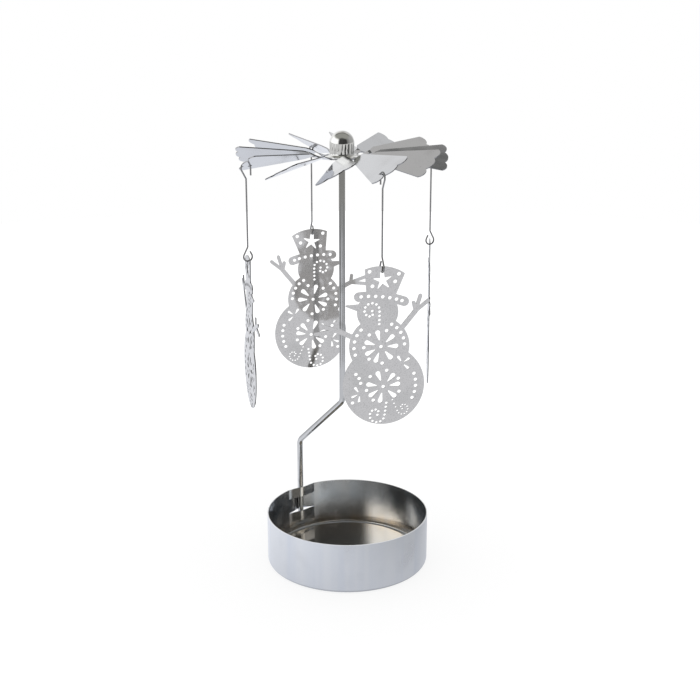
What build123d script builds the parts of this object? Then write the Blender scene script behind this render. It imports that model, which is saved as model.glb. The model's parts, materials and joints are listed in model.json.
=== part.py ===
from build123d import *
import math
import os

# Rotary tealight holder: a sheet metal cup, a cranked wire stem that clips into its wall,
# a bladed rotor turning on the stem's needle point, and four sheet snowmen on wire hangers.
# Millimetres, +Z up, origin at the centre of the cup's underside, clip on the -X side.

# Sheet and wire
sheet = 0.4
wire_r = 0.3
rod_r = 1.2

# Cup: its floor is stamped up inside the ring that it stands on
cup_r = 32.5
cup_height = 20.3
cup_corner_r = 1.4
pan_r = 28.4
pan_rise = 1.5
pan_slope = 0.9

# Clip: two slits in the cup's wall leave three straps, pushed in, out and in again
clip_half_width = 6.6
clip_top_slit_z = 16.0
clip_low_slit_z = 9.4
clip_slit = 0.15
clip_fade_top_z = 5.2
clip_fade_low_z = 2.4
clip_fit = 0.05
flush_half_width = 2.4

# Stem
crank_reach = 29.18
crank_low_z = 41.3
crank_top_z = 66.5
crank_bend_r = 4.0
needle_length = 5.0
needle_tip_r = 0.15
foot_gap = 0.1
pivot_gap = 0.05

# Rotor, one stamped sheet with twelve twisted blades
blade_count = 12
blade_first_azimuth = 78.7
rotor_z = 163.5
hub_r = 7.8
neck_start_r = 8.3
neck_end_r = 12.3
neck_rise = 1.4
neck_half_width = 0.95
shoulder_r = 14.4
shoulder_half_width = 2.7
tip_r = 37.7
tip_half_width = 8.1
lobe_valley_rise = 0.8
side_lobe_rise = 1.7
middle_lobe_rise = 2.25
# Twist, lift and lean of each blade in degrees, as bent by hand, anticlockwise from the first
blade_bends = (
    (30, -1.5, 0.5), (30, -0.9, 0.5), (30, -0.9, 0.5), (31, -0.9, -3.5),
    (30, -0.9, 0.5), (27, -0.9, 1.5), (25, -2.7, -1.0), (25, -4.7, -1.2),
    (29, -4.5, 0.0), (32, -2.7, -0.5), (30, -1.5, -1.5), (28, -2.7, 1.5),
)

# Bearing cap
cap_r = 4.65
cap_wall = 0.5
cap_flange_r = 6.9
cap_foot_fillet = 0.9
cap_height = 9.7

# Wire hangers, one on every third blade
hanger_step = 3
crest_r = 1.8
land_gap = 0.27
hole_r = 0.8
land_width = 1.6
free_end = 2.8
kink_start = 0.6
kink_end = 4.0
kink_r = 0.8
loop_r = 1.7
loop_height = 5.4
# From the crest's centre to the loop's lowest point, as each was cut and bent by hand
hanger_lengths = (34.8, 35.1, 34.8, 33.9)

# Snowman, in a frame with the wire that carries it at zero: x right seen from outside, y up.
# The head's centre is measured from the wire, and each lower centre from the one above it.
notch_r = 0.7
notch_gap = 0.1
hat_width = 14.6
hat_height = 11.2
brim_length = 16.6
brim_width = 3.5
head_r = 7.55
head_drop = 14.7
head_shift = -1.55
chest_r = 11.1
chest_drop = 12.9
chest_shift = 0.65
belly_r = 15.15
belly_drop = 14.8
belly_shift = 1.6
nose_tip_r = 0.28
nose_length = 4.6
nose_root_r = 1.35
nose_turn = -10
arm_width = 1.8
right_arm_length = 8.2
left_arm_length = 6.4
finger_length = 6.0
finger_width = 1.4
star_r = 3.45
star_tip_r = 0.2
dot_r = 0.65
hat_dot_r = 0.7
curl_r = 2.8
curl_dot_r = 0.48
curl_stem_step = 1.55
small_curl_r = 2.05
small_curl_dot_r = 0.32
petal_start = 2.4
petal_end = 6.4
petal_root_r = 0.25
petal_tip_r = 0.9
petal_dot_ring_r = 6.3
leaf_start = 0.8
leaf_end = 3.3
leaf_root_r = 0.15
leaf_tip_r = 0.5

# Turn of each figure's plane about the vertical, in degrees from square to its radius: the
# third hangs with its front towards the stem
figure_turns = (-26, -10, 171, -14)

# Outline of a blade's lobes across it, as shares of half its width at the tip
lobe_valley_share = 0.395
side_lobe_share = 0.73

# Outline of the hat from its low left corner, as shares of its width and its height
hat_outline_shares = (
    (-0.384, -0.714), (-0.428, 0.103), (0.007, 0.196), (0.572, -0.058), (0.332, -0.804),
)
# Left end, middle and right end of the brim, as shares of its length and the hat's height
brim_line_shares = ((-0.506, -0.79), (-0.012, -0.804), (0.491, -0.987))

# Places from the centre of the head, chest or belly, as shares of its radius
nose_tip_shares = (-1.503, 0.351)
face_curl_shares = (-0.272, 0.079)
chest_flower_shares = (0.054, -0.009)
belly_flower_shares = (-0.01, -0.04)
upper_sprig_shares = (0.455, 0.531)
lower_sprig_shares = (-0.587, -0.201)
large_curl_shares = (-0.158, -0.766)
small_curl_shares = (0.469, -0.64)

# Angles in degrees and shares of the sizes above that place the cut-outs and the limbs
star_turn = 95
star_waist_share = 0.46
petal_angles = (111, 49, 8, -42, -102, -146, 169)
upper_leaf_angles = (121, 34, -42)
lower_leaf_angles = (124, 202, 265)
face_curl_angle = -9
large_curl_angle = 0
small_curl_angle = 195
chest_turn = -8
chest_dot_angles = (71, 133, 181, 226, 274)
belly_dot_angles = (78, 27, -20, 140, 191, 234)
chest_row_angles = ((61, 3), (136, 198))
belly_row_angles = (19, -27)
row_dots = 5
belly_dot_shares = ((156, 0.74), (162, 0.63), (173, 0.565), (209, 0.87))
chest_ring_share = 0.84
belly_ring_share = 0.79
hat_dot_shares = ((0.12, 0.93), (0.86, 0.95), (0.83, 0.62), (0.2, 0.35))
brim_dot_shares = (0.05, 0.21, 0.365, 0.52, 0.675, 0.825, 0.95)
right_arm_angles = (38.5, 51)
left_arm_angles = (158.5, 153.5)
arm_root_share = 0.93
right_finger_shares = ((103, 0.52), (73, 0.98), (39, 0.97))
left_finger_shares = ((98, 0.5), (161, 1.06), (187, 1.32))

# Values that follow from the ones above
wall_mid_r = cup_r - sheet / 2
axis_x = crank_reach - wall_mid_r
stem_foot_z = clip_fade_top_z + foot_gap
crown_r = rod_r + clip_fit + sheet / 2
hub_top_z = rotor_z + sheet / 2
cap_top_z = hub_top_z + cap_height
stem_tip_z = cap_top_z - cap_wall - pivot_gap
lobe_valley = (tip_r + lobe_valley_rise, tip_half_width * lobe_valley_share)
side_lobe = (tip_r + side_lobe_rise, tip_half_width * side_lobe_share)
head_centre = (head_shift, -head_drop)
chest_centre = (head_centre[0] + chest_shift, head_centre[1] - chest_drop)
belly_centre = (chest_centre[0] + belly_shift, chest_centre[1] - belly_drop)


def polar(radius, degrees, centre=(0, 0)):
    angle = math.radians(degrees)
    return centre[0] + radius * math.cos(angle), centre[1] + radius * math.sin(angle)


def cup_line(inset):
    """Half section of the sheet's underside, or with an inset of one sheet, of its top."""
    corner_r = cup_corner_r - inset
    corner = (cup_r - cup_corner_r, cup_corner_r)
    foot_r = pan_r + pan_slope
    return [
        Line((0, pan_rise + inset), (pan_r, pan_rise + inset)),
        Line((pan_r, pan_rise + inset), (foot_r, inset)),
        Line((foot_r, inset), (corner[0], inset)),
        ThreePointArc((corner[0], inset), polar(corner_r, -45, corner), (cup_r - inset, corner[1])),
        Line((cup_r - inset, corner[1]), (cup_r - inset, cup_height)),
    ]


def cup_shell():
    rim = Line((cup_r, cup_height), (cup_r - sheet, cup_height))
    middle = Line((0, pan_rise), (0, pan_rise + sheet))
    profile = make_face(cup_line(0) + cup_line(sheet) + [rim, middle])
    return revolve(Plane.XZ * profile, Axis.Z)


def strap_roots():
    """Where the slits end: the wall's outer and inner corners, measured from the rod."""
    roots = []
    for radius in (cup_r, cup_r - sheet):
        depth = wall_mid_r - math.sqrt(radius**2 - clip_half_width**2)
        roots.append((depth, clip_half_width))
    return roots


def strap_plan(z, touches, crowns, bends):
    """Plan of a strap from its two faces, each with a touch point, a crown and side bends."""
    lines = []
    roots = strap_roots()
    for root, touch, crown, bend in zip(roots, touches, crowns, bends):
        lines.append(ThreePointArc((touch[0], -touch[1]), (crown, 0), touch))
        for side in (-1, 1):
            first = (touch[0], side * touch[1])
            last = (root[0], side * root[1])
            if bend:
                lines.append(ThreePointArc(first, (bend[0], side * bend[1]), last))
            else:
                lines.append(Line(first, last))
    for side in (-1, 1):
        ends = [(root[0], side * root[1]) for root in roots]
        lines.append(Line(*ends))
    return Pos(-wall_mid_r, 0, z) * make_face(lines)


def strap_face(z, way):
    """Strap bent round the rod: way is 1 for outwards and -1 for inwards."""
    touches = []
    crowns = []
    for root, face in zip(strap_roots(), (1, -1)):
        radius = crown_r + way * face * sheet / 2
        spread = math.acos(radius / math.hypot(*root))
        angle = math.atan2(root[1], root[0]) + way * spread
        touches.append((radius * math.cos(angle), radius * math.sin(angle)))
        crowns.append(-way * radius)
    return strap_plan(z, touches, crowns, (None, None))


def flush_face(z):
    """Strap that lies in the wall, with the same corners as a bent one."""
    touches = []
    crowns = []
    bends = []
    bend_y = (clip_half_width + flush_half_width) / 2
    for radius in (cup_r, cup_r - sheet):
        touches.append((wall_mid_r - math.sqrt(radius**2 - flush_half_width**2), flush_half_width))
        crowns.append(wall_mid_r - radius)
        bends.append((wall_mid_r - math.sqrt(radius**2 - bend_y**2), bend_y))
    return strap_plan(z, touches, crowns, bends)


def candle_cup():
    window_height = cup_height - clip_fade_low_z
    window = Pos(-cup_r, 0, clip_fade_low_z + window_height) * Box(
        cup_r, 2 * clip_half_width, 2 * window_height
    )
    cup = cup_shell() - window
    straps = (
        (clip_top_slit_z + clip_slit, cup_height, -1),
        (clip_low_slit_z + clip_slit, clip_top_slit_z, 1),
        (clip_fade_top_z, clip_low_slit_z, -1),
    )
    for low_z, high_z, way in straps:
        cup += extrude(strap_face(low_z, way), high_z - low_z, dir=(0, 0, 1))
    cup += loft([flush_face(clip_fade_low_z), strap_face(clip_fade_top_z, -1)], ruled=True)
    return cup


def stem():
    """Cranked rod from the clip to the rotor's axis, ground to a needle at its top."""
    shank_top_z = stem_tip_z - needle_length
    route = FilletPolyline(
        (-wall_mid_r, 0, stem_foot_z),
        (-wall_mid_r, 0, crank_low_z),
        (axis_x, 0, crank_top_z),
        (axis_x, 0, shank_top_z),
        radius=crank_bend_r,
    )
    rod = sweep(Pos(-wall_mid_r, 0, stem_foot_z) * Circle(rod_r), path=route)
    middle_z = shank_top_z + needle_length / 2
    needle = Pos(axis_x, 0, middle_z) * Cone(rod_r, needle_tip_r, needle_length)
    return rod + needle


def blade_azimuth(index):
    return blade_first_azimuth + index * 360 / blade_count + blade_bends[index][2]


def blade_plane(index, radius=0, twist_share=1):
    """Plane at a radius of a blade: x along the blade, y across it to its raised edge."""
    twist, lift = blade_bends[index][:2]
    azimuth = blade_azimuth(index)
    rise = math.radians(lift)
    turn = math.radians(twist) * twist_share
    flat = Vector(*polar(1, azimuth))
    level = Vector(*polar(1, azimuth + 90))
    along = flat * math.cos(rise) + Vector(0, 0, math.sin(rise))
    across = level * math.cos(turn) + along.cross(level) * math.sin(turn)
    bend = Vector(axis_x, 0, rotor_z + neck_rise * twist_share) + flat * neck_start_r
    return Plane(
        bend + along * (radius - neck_start_r), x_dir=along, z_dir=along.cross(across)
    )


def blade_outline():
    low_tip = (tip_r, -tip_half_width)
    high_tip = (tip_r, tip_half_width)
    low_lobe = (side_lobe[0], -side_lobe[1])
    low_valley = (lobe_valley[0], -lobe_valley[1])
    neck_low = (neck_end_r, -neck_half_width)
    neck_high = (neck_end_r, neck_half_width)
    return make_face([
        Polyline(neck_low, (shoulder_r, -shoulder_half_width), low_tip),
        ThreePointArc(low_tip, low_lobe, low_valley),
        ThreePointArc(low_valley, (tip_r + middle_lobe_rise, 0), lobe_valley),
        ThreePointArc(lobe_valley, side_lobe, high_tip),
        Polyline(high_tip, (shoulder_r, shoulder_half_width), neck_high),
        Line(neck_high, neck_low),
    ])


def neck(index):
    """Strip that twists from the level hub to its blade."""
    sections = []
    for share in (0, 0.25, 0.5, 0.75, 1):
        radius = neck_start_r + share * (neck_end_r - neck_start_r)
        plane = blade_plane(index, radius, share)
        across = Plane(plane.origin, x_dir=plane.y_dir, z_dir=plane.x_dir)
        sections.append(across * Rectangle(2 * neck_half_width, sheet))
    return loft(sections, ruled=True)


def hanger_site(index):
    """Azimuth and radius of the middle of a hanger's land, and the height of its top."""
    plane = blade_plane(index)
    valley = plane.from_local_coords(Vector(lobe_valley[0], -lobe_valley[1], 0))
    azimuth = math.degrees(math.atan2(valley.Y, valley.X - axis_x))
    radius = math.hypot(valley.X - axis_x, valley.Y) - land_width / 2
    x, y = polar(radius, azimuth, (axis_x, 0))
    normal = plane.z_dir
    mid_z = plane.origin.Z
    mid_z -= (normal.X * (x - plane.origin.X) + normal.Y * (y - plane.origin.Y)) / normal.Z
    return azimuth, radius, mid_z + sheet / 2 / normal.Z


def hanger_hole(index):
    azimuth, radius, z = hanger_site(index)
    x, y = polar(radius - land_width / 2 - hole_r, azimuth, (axis_x, 0))
    return Pos(x, y, z) * Cylinder(hole_r, tip_half_width)


def hub():
    """Flat middle of the rotor with a tab for each neck and a hole under the cap."""
    disc = Circle(hub_r)
    for index in range(blade_count):
        tab = Pos(neck_start_r / 2, 0) * Rectangle(neck_start_r, 2 * neck_half_width)
        disc += Rot(0, 0, blade_azimuth(index)) * tab
    disc -= Circle(cap_r - cap_wall)
    return extrude(Pos(axis_x, 0, rotor_z) * disc, sheet / 2, both=True)


def rotor():
    outline = blade_outline()
    strips = []
    for index in range(blade_count):
        blade = extrude(blade_plane(index) * outline, sheet / 2, both=True)
        if index % hanger_step == 0:
            blade -= hanger_hole(index)
        strips.append(neck(index) + blade)
    return hub() + strips


def bearing_cap():
    """Domed cap whose flange lies on the hub; the needle stands under its crown."""
    bore_r = cap_r - cap_wall
    crown_z = cap_top_z - cap_r
    flange_z = hub_top_z + sheet
    fillet_r = cap_r + cap_foot_fillet
    fillet_z = flange_z + cap_foot_fillet
    profile = make_face([
        Line((bore_r, hub_top_z), (cap_flange_r, hub_top_z)),
        Line((cap_flange_r, hub_top_z), (cap_flange_r, flange_z)),
        Line((cap_flange_r, flange_z), (fillet_r, flange_z)),
        ThreePointArc(
            (fillet_r, flange_z),
            polar(cap_foot_fillet, 225, (fillet_r, fillet_z)),
            (cap_r, fillet_z),
        ),
        Line((cap_r, fillet_z), (cap_r, crown_z)),
        ThreePointArc((cap_r, crown_z), polar(cap_r, 45, (0, crown_z)), (0, cap_top_z)),
        Line((0, cap_top_z), (0, cap_top_z - cap_wall)),
        ThreePointArc(
            (0, cap_top_z - cap_wall), polar(bore_r, 45, (0, crown_z)), (bore_r, crown_z)
        ),
        Line((bore_r, crown_z), (bore_r, hub_top_z)),
    ])
    return Pos(axis_x, 0, 0) * revolve(Plane.XZ * profile, Axis.Z)


def hanger_pivot(index):
    """Azimuth and centre of a hanger's crest, which rocks on the two edges of its land."""
    azimuth, radius, land_z = hanger_site(index)
    twist = math.radians(blade_bends[index][0])
    wire_z = math.sqrt(crest_r**2 - (land_width / 2) ** 2)
    pivot_z = land_z + (wire_r + land_gap) / math.cos(twist) - wire_z
    x, y = polar(radius, azimuth, (axis_x, 0))
    return azimuth, Vector(x, y, pivot_z)


def radial_plane(origin, azimuth):
    """Upright plane through the rotor's axis: x outwards, y up."""
    return Plane(origin, x_dir=polar(1, azimuth) + (0,), z_dir=polar(1, azimuth - 90) + (0,))


def hanger(index, length):
    """Bent wire: free end, crest over the land, kink back under the crest, leg and loop."""
    azimuth, pivot = hanger_pivot(index)
    loop_y = loop_r - length
    apex_y = loop_height - length
    slant = math.asin(loop_r / (loop_height - loop_r))
    side = polar(loop_r, math.degrees(slant), (0, loop_y))
    end_run = (2 * wire_r + land_gap) / math.sin(slant)
    end = polar(end_run, 270 - math.degrees(slant), (0, apex_y))
    crest = [
        Line((-crest_r, -free_end), (-crest_r, 0)),
        ThreePointArc((-crest_r, 0), (0, crest_r), (crest_r, 0)),
    ]
    leg = FilletPolyline(
        (crest_r, 0), (crest_r, -kink_start), (0, -kink_end), (0, apex_y), side, radius=kink_r
    )
    loop = [
        ThreePointArc(side, (0, -length), (-side[0], side[1])),
        Line((-side[0], side[1]), end),
    ]
    route = Wire(crest + list(leg.edges()) + loop)
    section = Plane((-crest_r, -free_end, 0), z_dir=(0, 1, 0)) * Circle(wire_r)
    return radial_plane(pivot, azimuth) * sweep(section, path=route)


def dot(place, radius=dot_r):
    return Pos(*place) * Circle(radius)


def taper(start, end, start_r, end_r):
    """Outline round two circles of different size."""
    run = math.dist(start, end)
    back = (end_r - start_r) / run
    rise = math.sqrt(1 - back**2)
    near = (-start_r * back, start_r * rise)
    far = (run - end_r * back, end_r * rise)
    face = make_face([
        Line(near, far),
        ThreePointArc(far, (run + end_r, 0), (far[0], -far[1])),
        Line((far[0], -far[1]), (near[0], -near[1])),
        ThreePointArc((near[0], -near[1]), (-start_r, 0), near),
    ])
    turn = math.degrees(math.atan2(end[1] - start[1], end[0] - start[0]))
    return Pos(*start) * Rot(0, 0, turn) * face


def bar(start, end, width):
    return taper(start, end, width / 2, width / 2)


def petal(centre, degrees, start, end, root_r, tip_r):
    near = polar(start + root_r, degrees, centre)
    return taper(near, polar(end - tip_r, degrees, centre), root_r, tip_r)


def flower(centre, turn, dot_angles):
    """Ring of petals round a dot, with dots between the petals' tips."""
    cuts = [dot(centre)]
    for angle in petal_angles:
        cuts.append(
            petal(centre, angle + turn, petal_start, petal_end, petal_root_r, petal_tip_r)
        )
    for angle in dot_angles:
        cuts.append(dot(polar(petal_dot_ring_r, angle, centre)))
    return cuts


def sprig(centre, leaf_angles):
    cuts = []
    for angle in leaf_angles:
        cuts.append(petal(centre, angle, leaf_start, leaf_end, leaf_root_r, leaf_tip_r))
    return cuts


def dot_row(centre, radius, angles):
    """Dots at even angles on an arc from the first angle to the last."""
    first, last = angles
    cuts = []
    for step in range(row_dots):
        angle = first + (last - first) * step / (row_dots - 1)
        cuts.append(dot(polar(radius, angle, centre)))
    return cuts


def curl(centre, radius, first, hand, size):
    """Curl of dots: a straight stem, most of a turn at the full radius, then in to its eye."""
    stem_dots = 3
    stem_lean = 82
    curl_steps = 10
    step_angle = 32
    eye_share = 0.95
    cuts = []
    start = polar(radius, first, centre)
    for turn in range(1, stem_dots + 1):
        place = polar(turn * curl_stem_step, first - hand * stem_lean, start)
        cuts.append(dot(place, size))
    for turn in range(curl_steps + 1):
        reach = radius * (1 - eye_share * (turn / curl_steps) ** 7)
        cuts.append(dot(polar(reach, first + hand * turn * step_angle, centre), size))
    return cuts


def star_cuts():
    """Star whose upper point is a round notch for the wire."""
    notch = (0, wire_r + notch_gap - notch_r)
    centre = polar(star_r - notch_r, star_turn - 180, notch)
    waist_r = star_r * star_waist_share
    cuts = [Pos(*centre) * Circle(waist_r * math.cos(math.radians(36)))]
    for point in range(5):
        angle = star_turn + point * 72
        tip_radius = notch_r if point == 0 else star_tip_r
        tip = polar(star_r - tip_radius, angle, centre)
        cuts.append(taper(centre, tip, waist_r * math.sin(math.radians(36)), tip_radius))
    return cuts


def spot(centre, radius, shares):
    """Place in a round part of the figure, at shares of its radius from its centre."""
    return centre[0] + radius * shares[0], centre[1] + radius * shares[1]


def hat_corners():
    return [(hat_width * across, hat_height * up) for across, up in hat_outline_shares]


def hat_place(across_share, up_share):
    """Place in the hat at shares of the way across it and up from its low edge."""
    low_left, top_left, _, top_right, low_right = hat_corners()
    low = Line(low_left, low_right) @ across_share
    high = Line(top_left, top_right) @ across_share
    place = Line(low, high) @ up_share
    return place.X, place.Y


def hat():
    low_left, top_left, top_middle, top_right, low_right = hat_corners()
    return make_face([
        Line(low_left, top_left),
        ThreePointArc(top_left, top_middle, top_right),
        Line(top_right, low_right),
        Line(low_right, low_left),
    ])


def brim_line():
    return ThreePointArc(*[(brim_length * x, hat_height * y) for x, y in brim_line_shares])


def arm(angles, length, finger_shares):
    """Arm from the chest's edge with three fingers."""
    root = polar(chest_r * arm_root_share, angles[0], chest_centre)
    hand = polar(length, angles[1], root)
    parts = [bar(root, hand, arm_width)]
    for angle, share in finger_shares:
        parts.append(bar(hand, polar(finger_length * share, angle, hand), finger_width))
    return parts


def snowman_outline():
    figure = dot(head_centre, head_r) + dot(chest_centre, chest_r) + dot(belly_centre, belly_r)
    figure += hat()
    figure += SlotArc(brim_line(), brim_width)
    nose_tip = spot(head_centre, head_r, nose_tip_shares)
    figure += taper(polar(nose_length, nose_turn, nose_tip), nose_tip, nose_root_r, nose_tip_r)
    figure += arm(right_arm_angles, right_arm_length, right_finger_shares)
    figure += arm(left_arm_angles, left_arm_length, left_finger_shares)
    return figure


def hat_cuts():
    cuts = star_cuts()
    for across_share, up_share in hat_dot_shares:
        cuts.append(dot(hat_place(across_share, up_share), hat_dot_r))
    brim = brim_line()
    for share in brim_dot_shares:
        place = brim @ share
        cuts.append(dot((place.X, place.Y)))
    return cuts


def head_cuts():
    place = spot(head_centre, head_r, face_curl_shares)
    return curl(place, curl_r, face_curl_angle, 1, curl_dot_r)


def chest_cuts():
    place = spot(chest_centre, chest_r, chest_flower_shares)
    cuts = flower(place, chest_turn, chest_dot_angles)
    for angles in chest_row_angles:
        cuts += dot_row(chest_centre, chest_r * chest_ring_share, angles)
    return cuts


def belly_cuts():
    cuts = flower(spot(belly_centre, belly_r, belly_flower_shares), 0, belly_dot_angles)
    cuts += dot_row(belly_centre, belly_r * belly_ring_share, belly_row_angles)
    for angle, share in belly_dot_shares:
        cuts.append(dot(polar(belly_r * share, angle, belly_centre)))
    cuts += sprig(spot(belly_centre, belly_r, upper_sprig_shares), upper_leaf_angles)
    cuts += sprig(spot(belly_centre, belly_r, lower_sprig_shares), lower_leaf_angles)
    large = spot(belly_centre, belly_r, large_curl_shares)
    cuts += curl(large, curl_r, large_curl_angle, -1, curl_dot_r)
    small = spot(belly_centre, belly_r, small_curl_shares)
    cuts += curl(small, small_curl_r, small_curl_angle, 1, small_curl_dot_r)
    return cuts


def snowman_sheet():
    """Pierced figure, turned about the wire until its centre of area hangs below it."""
    cuts = hat_cuts() + head_cuts() + chest_cuts() + belly_cuts()
    figure = snowman_outline() - cuts
    centre = figure.center()
    settle = math.degrees(math.atan2(centre.X, -centre.Y))
    return extrude(Rot(0, 0, -settle) * figure, sheet / 2, both=True)


def snowman(sheet_figure, index, length, turn):
    azimuth, pivot = hanger_pivot(index)
    wire = pivot - Vector(0, 0, length)
    facing = azimuth + turn
    place = Plane(wire, x_dir=polar(1, facing + 90) + (0,), z_dir=polar(1, facing) + (0,))
    return place * sheet_figure


os.makedirs("parts", exist_ok=True)
pieces = {
    "candle_cup": candle_cup(),
    "stem": stem(),
    "rotor": rotor(),
    "bearing_cap": bearing_cap(),
}
pierced_sheet = snowman_sheet()
for number, (wire_length, figure_turn) in enumerate(zip(hanger_lengths, figure_turns)):
    blade_index = number * hanger_step
    pieces[f"hanger_{number + 1}"] = hanger(blade_index, wire_length)
    pieces[f"snowman_{number + 1}"] = snowman(
        pierced_sheet, blade_index, wire_length, figure_turn
    )
for name, piece in pieces.items():
    export_step(piece, os.path.join("parts", name + ".step"))
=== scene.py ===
import json
import math

import bpy
import numpy as np
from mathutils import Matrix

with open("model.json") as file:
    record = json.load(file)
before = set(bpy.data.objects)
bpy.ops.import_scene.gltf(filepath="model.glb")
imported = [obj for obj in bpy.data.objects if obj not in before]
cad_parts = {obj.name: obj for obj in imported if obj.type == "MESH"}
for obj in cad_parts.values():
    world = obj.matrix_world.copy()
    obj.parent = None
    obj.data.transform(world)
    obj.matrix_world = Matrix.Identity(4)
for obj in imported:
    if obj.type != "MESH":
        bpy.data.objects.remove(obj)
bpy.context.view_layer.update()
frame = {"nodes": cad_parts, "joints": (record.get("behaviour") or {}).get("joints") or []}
nodes = frame["nodes"]


# ---- Candle cup ----
# Shallow cup pressed from steel sheet and bright plated. Drawing the wall leaves faint upright
# lines in it, the plating lets the sheet's slight waviness show, and handling leaves hairlines
# and dull patches. Three straps cut in the wall grip the stem.

def wire_up(tree, links):
    """Joins sockets given as (from node, output, to node, input), by their names or numbers."""
    for source, output, target, entry in links:
        tree.links.new(source.outputs[output], target.inputs[entry])


def between(tree, start, full, low=0, high=1, smooth=False):
    """A Map Range node that gives low where its value is start, and high where it is full."""
    node = tree.nodes.new("ShaderNodeMapRange")
    node.interpolation_type = "SMOOTHSTEP" if smooth else "LINEAR"
    labels = ("From Min", "From Max", "To Min", "To Max")
    for label, value in zip(labels, (start, full, low, high)):
        node.inputs[label].default_value = value
    return node


def calculation(tree, operation, *later_operands):
    """A Math node, with its operands after the first set to the numbers given."""
    node = tree.nodes.new("ShaderNodeMath")
    node.operation = operation
    for entry, value in zip(node.inputs[1:], later_operands):
        entry.default_value = value
    return node


def colour_mix(tree, first=None, second=None):
    """A Mix node for colours. One that isn't given is linked later."""
    node = tree.nodes.new("ShaderNodeMix")
    node.data_type = "RGBA"
    for label, colour in (("A", first), ("B", second)):
        if colour is not None:
            node.inputs[label].default_value = (*colour, 1)
    return node


def effect(name, inputs, outputs):
    """An empty shader node group with the named float or vector inputs and float outputs."""
    group = bpy.data.node_groups.new(name, "ShaderNodeTree")
    for label, kind in inputs:
        group.interface.new_socket(label, in_out="INPUT", socket_type=kind)
    for label in outputs:
        group.interface.new_socket(label, in_out="OUTPUT", socket_type="NodeSocketFloat")
    return group, group.nodes.new("NodeGroupInput"), group.nodes.new("NodeGroupOutput")


def place_effect(tree, group, *values):
    """Puts a node group in a material, with its inputs set in their order."""
    node = tree.nodes.new("ShaderNodeGroup")
    node.node_tree = group
    for entry, value in zip(node.inputs, values):
        entry.default_value = value
    return node


def hairline_effect():
    """Thin lines where a stretched noise passes through its middle value, thinned out in places
    by a broad noise. Stretch gives the noise's scale along each axis, per metre."""
    noise_middle = 0.5
    broad_scale = 140
    lines_start, lines_full = 0.5, 0.62
    group, given, out = effect(
        "hairlines",
        [("Stretch", "NodeSocketVector"), ("Width", "NodeSocketFloat")],
        ["Lines", "Streaks"],
    )
    place = group.nodes.new("ShaderNodeTexCoord")
    spread = group.nodes.new("ShaderNodeVectorMath")
    spread.operation = "MULTIPLY"
    fine = group.nodes.new("ShaderNodeTexNoise")
    fine.inputs["Scale"].default_value = 1
    fine.inputs["Detail"].default_value = 3
    away = calculation(group, "SUBTRACT", noise_middle)
    size = calculation(group, "ABSOLUTE")
    thin = between(group, 0, 1, 1, 0)
    broad = group.nodes.new("ShaderNodeTexNoise")
    broad.inputs["Scale"].default_value = broad_scale
    patch = between(group, lines_start, lines_full)
    both = calculation(group, "MULTIPLY")
    wire_up(group, [
        (place, "Object", spread, 0), (given, "Stretch", spread, 1), (spread, 0, fine, "Vector"),
        (fine, 0, away, 0), (away, 0, size, 0), (size, 0, thin, "Value"),
        (given, "Width", thin, "From Max"), (place, "Object", broad, "Vector"),
        (broad, 0, patch, "Value"), (thin, 0, both, 0), (patch, 0, both, 1),
        (both, 0, out, "Lines"), (fine, 0, out, "Streaks"),
    ])
    return group


def cloud_effect():
    """Soft patches: a noise in object space, stretched between the values where patches start
    and where they are full. Scale is the noise's scale, per metre."""
    group, given, out = effect(
        "dull_patches",
        [("Scale", "NodeSocketFloat"), ("Start", "NodeSocketFloat"), ("Full", "NodeSocketFloat")],
        ["Patches", "Swell"],
    )
    place = group.nodes.new("ShaderNodeTexCoord")
    noise = group.nodes.new("ShaderNodeTexNoise")
    noise.inputs["Detail"].default_value = 2
    patch = between(group, 0, 1, smooth=True)
    wire_up(group, [
        (place, "Object", noise, "Vector"), (given, "Scale", noise, "Scale"),
        (noise, 0, patch, "Value"), (given, "Start", patch, "From Min"),
        (given, "Full", patch, "From Max"), (patch, 0, out, "Patches"),
        (noise, 0, out, "Swell"),
    ])
    return group


hairlines = hairline_effect()
clouds = cloud_effect()


def plated(name, colour, dull_colour, roughness, dull_roughness, stretch, patches, wave):
    """Plated metal: colour and roughness go from bright to dull where the patches and the
    hairlines lie, and a bump of the broad swell and the fine streaks bends the reflections.
    patches is (scale, start, full), and wave is (swell height, streak height) in metres."""
    hairline_width = 0.012
    swell_height, streak_height = wave
    material = bpy.data.materials.new(name)
    material.use_nodes = True
    tree = material.node_tree
    shader = tree.nodes["Principled BSDF"]
    shader.inputs["Metallic"].default_value = 1
    lines = place_effect(tree, hairlines, stretch, hairline_width)
    cloud = place_effect(tree, clouds, *patches)
    worn = calculation(tree, "MAXIMUM")
    tint = colour_mix(tree, colour, dull_colour)
    rough = between(tree, 0, 1, roughness, dull_roughness)
    swell = calculation(tree, "MULTIPLY", swell_height)
    streak = calculation(tree, "MULTIPLY_ADD", streak_height)
    bump = tree.nodes.new("ShaderNodeBump")
    bump.inputs["Distance"].default_value = 1
    wire_up(tree, [
        (lines, "Lines", worn, 0), (cloud, "Patches", worn, 1), (worn, 0, tint, "Factor"),
        (worn, 0, rough, "Value"), (tint, "Result", shader, "Base Color"),
        (rough, 0, shader, "Roughness"), (cloud, "Swell", swell, 0), (lines, "Streaks", streak, 0),
        (swell, 0, streak, 2), (streak, 0, bump, "Height"), (bump, 0, shader, "Normal"),
    ])
    return material


def mask_along(tree, source, output, limits, smooth=False):
    """A mask that goes from 0 to 1 as a node's output goes from the first limit to the second."""
    mask = between(tree, *limits, smooth=smooth)
    wire_up(tree, [(source, output, mask, "Value")])
    return mask


def overlap(tree, first, *others):
    """The product of masks, so that it is 1 only where all of them are."""
    result = first
    for mask in others:
        product = calculation(tree, "MULTIPLY")
        wire_up(tree, [(result, 0, product, 0), (mask, 0, product, 1)])
        result = product
    return result


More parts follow.
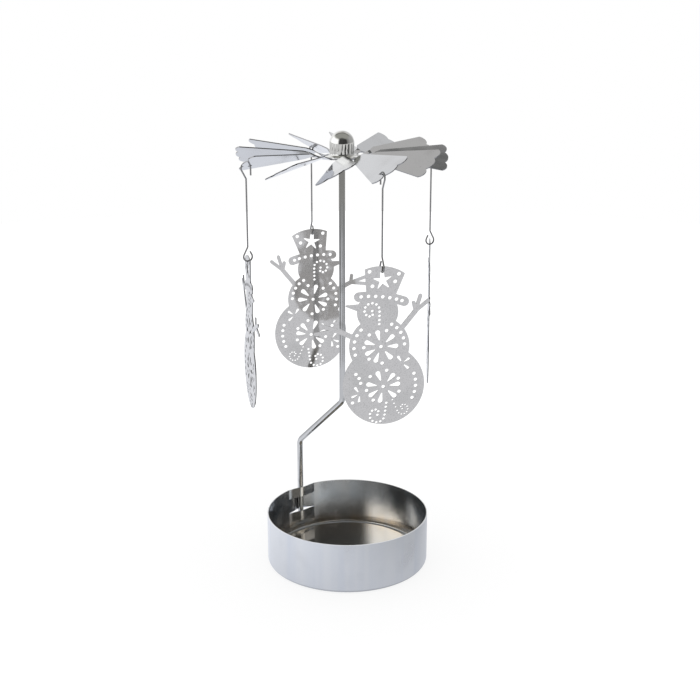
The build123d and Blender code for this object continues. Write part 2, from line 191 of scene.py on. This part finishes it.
def tint_over(material, mask, colour):
    """Lays a colour over the material's base colour where the mask is 1."""
    tree = material.node_tree
    base = tree.nodes["Principled BSDF"].inputs["Base Color"]
    over = colour_mix(tree, second=colour)
    tree.links.new(base.links[0].from_socket, over.inputs["A"])
    wire_up(tree, [(mask, 0, over, "Factor")])
    tree.links.new(over.outputs["Result"], base)


cup_finish = plated(
    "cup_plating", colour=(0.635, 0.645, 0.66), dull_colour=(0.595, 0.605, 0.62),
    roughness=0.19, dull_roughness=0.28, stretch=(1500, 1500, 60), patches=(70, 0.52, 0.72),
    wave=(0.00012, 0.000003),
)
tree = cup_finish.node_tree
place = tree.nodes.new("ShaderNodeTexCoord")
axes = tree.nodes.new("ShaderNodeSeparateXYZ")
flat = tree.nodes.new("ShaderNodeVectorMath")
flat.operation = "MULTIPLY"
flat.inputs[1].default_value = (1, 1, 0)
reach = tree.nodes.new("ShaderNodeVectorMath")
reach.operation = "LENGTH"
wire_up(tree, [
    (place, "Object", axes, 0), (place, "Object", flat, 0), (flat, 0, reach, 0),
])

# Inside, the base colour is tinted straw down by the floor and cold blue higher up. Here and
# below, a pair is where a mask starts and where it is full, in metres from the cup's axis (r),
# up (z), across the clip (y) or along its line (x).
inside_r = (0.0324, 0.0322)
straw_z = (0.007, 0.001)
cold_z = (0.007, 0.014)
straw_tint = (0.72, 0.65, 0.56)
cold_tint = (0.575, 0.625, 0.69)
inside = mask_along(tree, reach, "Value", inside_r)
straw = overlap(tree, inside, mask_along(tree, axes, "Z", straw_z, smooth=True))
cold = overlap(tree, inside, mask_along(tree, axes, "Z", cold_z, smooth=True))
tint_over(cup_finish, straw, straw_tint)
tint_over(cup_finish, cold, cold_tint)

# Broad upright bands left by the draw, a painted highlight along the rim, a painted shade along
# the bottom edge that the cup stands on, and the floor, which the press has polished, with a
# painted warm highlight on its colour
band_stretch = (230, 230, 9)
band_noise = (0.42, 0.72)
rim_highlight_z = (0.02022, 0.02028)
foot_shade_z = (0.0013, 0.0006)
pan_r = (0.0296, 0.0286)
band_tint = (0.585, 0.605, 0.64)
rim_highlight_tint = (0.82, 0.83, 0.84)
foot_shade_tint = (0.40, 0.41, 0.42)
pan_highlight_tint = (0.92, 0.84, 0.72)
polished_roughness = 0.08
bands = place_effect(tree, hairlines, band_stretch)
pan = overlap(tree, mask_along(tree, reach, "Value", pan_r), straw)
tint_over(cup_finish, mask_along(tree, bands, "Streaks", band_noise), band_tint)
# Painted highlight along the rim
tint_over(cup_finish, mask_along(tree, axes, "Z", rim_highlight_z), rim_highlight_tint)
# Painted shade along the bottom edge the cup stands on
tint_over(cup_finish, mask_along(tree, axes, "Z", foot_shade_z), foot_shade_tint)
# Painted warm highlight on the floor's colour; its lower roughness below is the real polish
tint_over(cup_finish, pan, pan_highlight_tint)
gloss = tree.nodes["Principled BSDF"].inputs["Roughness"]
polish = tree.nodes.new("ShaderNodeMix")
polish.inputs["B"].default_value = polished_roughness
tree.links.new(gloss.links[0].from_socket, polish.inputs["A"])
wire_up(tree, [(pan, 0, polish, "Factor")])
tree.links.new(polish.outputs["Result"], gloss)

# The straps that stand in from the wall: a painted shade darkens them on one side of the stem,
# and a painted highlight brightens their crowns over it
strap_r = (0.0319, 0.0316)
strap_z = (0.0045, 0.006)
clip_x = (-0.024, -0.026)
shaded_side_y = (-0.0009, -0.0013)
crown_half_width = (0.001, 0.0007)
strap_shade_tint = (0.16, 0.16, 0.155)
crown_highlight_tint = (0.97, 0.97, 0.96)
off_middle = calculation(tree, "ABSOLUTE")
wire_up(tree, [(axes, "Y", off_middle, 0)])
strap = overlap(
    tree, mask_along(tree, reach, "Value", strap_r), mask_along(tree, axes, "Z", strap_z),
    mask_along(tree, axes, "X", clip_x),
)
shaded_side = overlap(tree, strap, mask_along(tree, axes, "Y", shaded_side_y))
crown_highlight = overlap(tree, strap, mask_along(tree, off_middle, 0, crown_half_width))
# Painted shade on one side of the straps, and a painted highlight on their crowns
tint_over(cup_finish, shaded_side, strap_shade_tint)
tint_over(cup_finish, crown_highlight, crown_highlight_tint)
nodes["candle_cup"].material_slots[0].material = cup_finish


# ---- Stem ----
# Steel wire rod, cranked twice, bright plated and ground to a needle at its top. Drawing and
# straightening leave long faint lines along it, and a painted shade darkens it below the rotor.

stem_finish = plated(
    "stem_plating", colour=(0.55, 0.55, 0.545), dull_colour=(0.43, 0.43, 0.42),
    roughness=0.09, dull_roughness=0.2, stretch=(900, 2200, 50), patches=(160, 0.55, 0.75),
    wave=(0.00004, 0.000004),
)
under_rotor_shade_z = (0.112, 0.155)
under_rotor_shade_tint = (0.30, 0.30, 0.285)
tree = stem_finish.node_tree
place = tree.nodes.new("ShaderNodeTexCoord")
axes = tree.nodes.new("ShaderNodeSeparateXYZ")
wire_up(tree, [(place, "Object", axes, 0)])
# Painted shade on the stem below the rotor
tint_over(stem_finish, mask_along(tree, axes, "Z", under_rotor_shade_z, smooth=True), under_rotor_shade_tint)
nodes["stem"].material_slots[0].material = stem_finish


# ---- Rotor ----
# One stamped sheet with twelve blades twisted by hand tools. It is glossier than the cup, a
# painted dark reflection lies on its cut edges, and the rolled sheet's grain runs one way
# through all the blades.

def edge_effect():
    """Cut edges of a sheet: 1 where the normal leans away from the sheet's facing, as the
    size of their dot product falls from Start to Full."""
    group, given, out = effect(
        "cut_edges",
        [("Facing", "NodeSocketVector"), ("Start", "NodeSocketFloat"), ("Full", "NodeSocketFloat")],
        ["Edge"],
    )
    place = group.nodes.new("ShaderNodeTexCoord")
    along = group.nodes.new("ShaderNodeVectorMath")
    along.operation = "DOT_PRODUCT"
    size = calculation(group, "ABSOLUTE")
    edge = between(group, 0, 1)
    wire_up(group, [
        (place, "Normal", along, 0), (given, "Facing", along, 1), (along, "Value", size, 0),
        (size, 0, edge, "Value"), (given, "Start", edge, "From Min"),
        (given, "Full", edge, "From Max"), (edge, 0, out, "Edge"),
    ])
    return group


cut_edges = edge_effect()

# The twisted blades lean by up to 36 degrees, so an edge starts where the normal leans further
blade_edge = (0.78, 0.6)
blade_edge_reflection_tint = (0.3, 0.3, 0.31)
rotor_finish = plated(
    "rotor_plating", colour=(0.63, 0.64, 0.66), dull_colour=(0.58, 0.585, 0.6),
    roughness=0.08, dull_roughness=0.2, stretch=(70, 1800, 1800), patches=(60, 0.5, 0.75),
    wave=(0.0001, 0.000002),
)
rotor_edges = place_effect(rotor_finish.node_tree, cut_edges, (0, 0, 1), *blade_edge)
# Painted dark reflection on the blades' cut edges
tint_over(rotor_finish, rotor_edges, blade_edge_reflection_tint)
nodes["rotor"].material_slots[0].material = rotor_finish


# ---- Bearing cap ----
# Deep-drawn dome with a turned-out flange, pressed on the rotor's hub. It turns on the stem's
# needle, and it is the brightest polished piece.

cap_finish = plated(
    "cap_polish", colour=(0.80, 0.80, 0.78), dull_colour=(0.66, 0.66, 0.64),
    roughness=0.03, dull_roughness=0.1, stretch=(1200, 1200, 200), patches=(260, 0.52, 0.74),
    wave=(0.00007, 0.000001),
)
nodes["bearing_cap"].material_slots[0].material = cap_finish


# ---- Hangers ----
# Thin, rather dull steel wire, bent by hand into a hook over the blade's tip, with an open
# loop at the bottom that carries a figure.

hanger_count = 4
wire_finish = plated(
    "hanger_wire", colour=(0.3, 0.3, 0.3), dull_colour=(0.25, 0.25, 0.245),
    roughness=0.2, dull_roughness=0.32, stretch=(2600, 2600, 90), patches=(300, 0.5, 0.7),
    wave=(0.000003, 0.0000002),
)
for number in range(1, hanger_count + 1):
    nodes[f"hanger_{number}"].material_slots[0].material = wire_finish


# ---- Snowmen ----
# Flat figures etched from thin bright steel sheet, with a fine speckle on both faces and a painted
# dark reflection on the etched edges round the outline and inside every petal and dot. Each hangs
# from its hat's star, and rocks about the axis that its sheet faces.

figure_edge = (0.9, 0.5)
speckle = (2400, 0.45, 0.75)
figure_edge_reflection_tint = (0.26, 0.26, 0.25)
speckle_tint = (0.47, 0.46, 0.445)
for joint in frame["joints"]:
    if joint["name"].startswith("snowman_rock_"):
        number = joint["name"].rsplit("_", 1)[1]
        finish = plated(
            f"figure_sheet_{number}", colour=(0.615, 0.60, 0.58), dull_colour=(0.56, 0.55, 0.53),
            roughness=0.06, dull_roughness=0.15, stretch=(1400, 1400, 80),
            patches=(90, 0.45, 0.75), wave=(0.00006, 0.000002),
        )
        tree = finish.node_tree
        tint_over(finish, place_effect(tree, clouds, *speckle), speckle_tint)
        edges = place_effect(tree, cut_edges, joint["axis"], *figure_edge)
        # Painted dark reflection on the etched edges
        tint_over(finish, edges, figure_edge_reflection_tint)
        nodes[f"snowman_{number}"].material_slots[0].material = finish


# ---- Floor and studio ----
# Round pale table in a plain studio, with a large soft light on the left, a dark room behind
# the camera, a pale wall at the back that falls off to grey on the right, and a grey ceiling.
# The camera sees it all white, and the metal sees it as it is.

table_radius = 0.8
rim_points = 96
studio_turn = math.radians(51.6)

# Points on a circle: the radius times the cosine and the sine of evenly spaced angles
ring = np.linspace(0, 2 * np.pi, rim_points + 1)[:-1]
rim = np.stack([table_radius * np.cos(ring), table_radius * np.sin(ring), 0 * ring], axis=1)
table_mesh = bpy.data.meshes.new("table")
table_mesh.from_pydata(rim.tolist(), [], [list(range(len(rim)))])
table = bpy.data.objects.new("table", table_mesh)
bpy.context.scene.collection.objects.link(table)

# The table's light as the metal sees it: falling from left to right near the cup, and from the
# middle to both sides further out. Close to the cup it is dimmer, also for the camera. The first
# two numbers are where each change starts and is full, in metres, and the others its strengths.
near_light = (-0.07, 0.09, 1.12, 0.46)
side_light = (0.16, 0.42, 0.68, 0.3)
far_start, far_full = 0.08, 0.16
shadow = (0.06, 0.2, 0.8, 1.0)
cool_white = (0.97, 1.0, 1.08)
white = (1, 1, 1)
table_grey = 0.25

table_material = bpy.data.materials.new("table_white")
table_material.use_nodes = True
tree = table_material.node_tree
tree.nodes.clear()
place = tree.nodes.new("ShaderNodeTexCoord")
turn = tree.nodes.new("ShaderNodeMapping")
turn.inputs["Rotation"].default_value = (0, 0, -studio_turn)
across = tree.nodes.new("ShaderNodeSeparateXYZ")
falloff = between(tree, *near_light)
path = tree.nodes.new("ShaderNodeLightPath")
far = between(tree, far_start, far_full, smooth=True)
even = tree.nodes.new("ShaderNodeMix")
aside = calculation(tree, "ABSOLUTE")
sides = between(tree, *side_light, smooth=True)
strength = tree.nodes.new("ShaderNodeMix")
strength.inputs["B"].default_value = 1
cool = colour_mix(tree, cool_white, white)
glow = tree.nodes.new("ShaderNodeEmission")
matt = tree.nodes.new("ShaderNodeBsdfDiffuse")
matt.inputs["Color"].default_value = (table_grey, table_grey, table_grey, 1)
reach = tree.nodes.new("ShaderNodeVectorMath")
reach.operation = "LENGTH"
near = between(tree, *shadow, smooth=True)
scaled = calculation(tree, "MULTIPLY")
total = tree.nodes.new("ShaderNodeAddShader")
surface = tree.nodes.new("ShaderNodeOutputMaterial")
wire_up(tree, [
    (place, "Object", turn, "Vector"), (turn, 0, across, 0), (across, "X", falloff, "Value"),
    (place, "Object", reach, 0), (reach, "Value", near, "Value"), (reach, "Value", far, "Value"),
    (far, 0, even, "Factor"), (falloff, 0, even, "A"), (across, "X", aside, 0),
    (aside, 0, sides, "Value"), (sides, 0, even, "B"),
    (path, "Is Camera Ray", strength, "Factor"), (even, "Result", strength, "A"),
    (strength, "Result", scaled, 0), (near, 0, scaled, 1), (scaled, 0, glow, "Strength"),
    (path, "Is Camera Ray", cool, "Factor"), (cool, "Result", glow, "Color"),
    (glow, 0, total, 0), (matt, 0, total, 1), (total, 0, surface, "Surface"),
])
table_mesh.materials.append(table_material)


def colour_ramp(tree, stops):
    """A colour ramp with stops given as (position, colour), the first at 0 and the last at 1."""
    node = tree.nodes.new("ShaderNodeValToRGB")
    elements = node.color_ramp.elements
    elements[0].color = (*stops[0][1], 1)
    elements[1].color = (*stops[-1][1], 1)
    for position, colour in stops[1:-1]:
        elements.new(position).color = (*colour, 1)
    return node


# Directions round the object in degrees anticlockwise from the right, with their brightness
wall_lights = (
    (-180, 1.35), (-132, 1.35), (-114, 0.06), (-45, 0.04), (-30, 0.22), (0, 0.4), (40, 0.42),
    (66, 0.72), (84, 0.75), (92, 0.95), (142, 1.0), (160, 1.35), (180, 1.35),
)
# Overhead, from the camera's side at 0 to the far side at 1
room_dark = (0.1, 0.1, 0.095)
lamp_grey = (0.34, 0.34, 0.315)
beam_dark = (0.15, 0.15, 0.145)
ceiling_pale = (0.62, 0.605, 0.585)
overhead_lights = (
    (0, room_dark), (0.16, room_dark), (0.25, lamp_grey), (0.64, lamp_grey), (0.67, beam_dark),
    (0.72, beam_dark), (0.74, ceiling_pale), (1, ceiling_pale),
)
# Below the horizon, past the table's edge, and the plain light on what isn't metal
ground_grey = (0.68, 0.68, 0.68)
plain_light = (0.85, 0.85, 0.85)
# Where the ground and the ceiling start and are full, as the height of a direction of length 1
horizon_start, horizon_full = -0.005, -0.03
ceiling_start, ceiling_full = math.sin(math.radians(30)), math.sin(math.radians(50))

world = bpy.data.worlds.new("studio")
bpy.context.scene.world = world
world.use_nodes = True
tree = world.node_tree
tree.nodes.clear()
place = tree.nodes.new("ShaderNodeTexCoord")
turn = tree.nodes.new("ShaderNodeMapping")
turn.inputs["Rotation"].default_value = (0, 0, -studio_turn)
axes = tree.nodes.new("ShaderNodeSeparateXYZ")
angle = calculation(tree, "ARCTAN2")
share = calculation(tree, "MULTIPLY_ADD", 1 / (2 * math.pi), 0.5)
walls = colour_ramp(
    tree, [((degrees + 180) / 360, (light, light, light)) for degrees, light in wall_lights]
)
down = between(tree, horizon_start, horizon_full)
lower = colour_mix(tree, second=ground_grey)
up = between(tree, ceiling_start, ceiling_full, smooth=True)
backward = calculation(tree, "MULTIPLY_ADD", 0.5, 0.5)
overhead = colour_ramp(tree, overhead_lights)
ceiling = colour_mix(tree)
path = tree.nodes.new("ShaderNodeLightPath")
seen = colour_mix(tree, first=plain_light)
direct = colour_mix(tree, second=white)
open_view = calculation(tree, "MAXIMUM")
sky = tree.nodes.new("ShaderNodeBackground")
surface = tree.nodes.new("ShaderNodeOutputWorld")
wire_up(tree, [
    (place, "Generated", turn, "Vector"), (turn, 0, axes, 0), (axes, "Y", angle, 0),
    (axes, "X", angle, 1), (angle, 0, share, 0), (share, 0, walls, "Fac"),
    (axes, "Z", down, "Value"), (down, 0, lower, "Factor"), (walls, "Color", lower, "A"),
    (axes, "Z", up, "Value"), (up, 0, ceiling, "Factor"), (lower, "Result", ceiling, "A"),
    (axes, "Y", backward, 0), (backward, 0, overhead, "Fac"), (overhead, "Color", ceiling, "B"),
    (path, "Is Glossy Ray", seen, "Factor"), (ceiling, "Result", seen, "B"),
    (path, "Is Camera Ray", open_view, 0), (path, "Is Transmission Ray", open_view, 1),
    (open_view, 0, direct, "Factor"), (seen, "Result", direct, "A"),
    (direct, "Result", sky, "Color"), (sky, 0, surface, "Surface"),
])

# A square soft lamp on the left and a little in front, aimed at the lower part of the object,
# with its power in watts. It gives the table its soft shadow, and the metal doesn't mirror it.
lamp_place = np.array((-0.45, -0.75, 0.75))
lamp_aim = np.array((0, 0, 0.05))
lamp_size = 0.6
lamp_power = 4
light = bpy.data.lights.new("key", "AREA")
light.size = lamp_size
light.energy = lamp_power
lamp = bpy.data.objects.new("key", light)
bpy.context.scene.collection.objects.link(lamp)
lamp.location = lamp_place
back_x, back_y, back_z = lamp_place - lamp_aim
lamp.rotation_euler = (
    math.atan2(math.hypot(back_x, back_y), back_z), 0, math.atan2(back_x, -back_y) + math.pi,
)
lamp.visible_camera = False
lamp.visible_glossy = False


# ---- Camera ----
# Stands 0.45 m from the object, at the photograph's viewing angle, and looks down on it by
# 16.5 degrees. A small shift keeps the photograph's framing.

from_straight_down = math.radians(73.46)
view = bpy.data.cameras.new("camera")
view.lens = 62.25
view.shift_y = -0.0056
camera = bpy.data.objects.new("camera", view)
bpy.context.scene.collection.objects.link(camera)
camera.location = (0.3563, -0.2810, 0.2249)
camera.rotation_euler = (from_straight_down, 0, studio_turn)
bpy.context.scene.camera = camera
bpy.context.scene.view_settings.view_transform = "Standard"
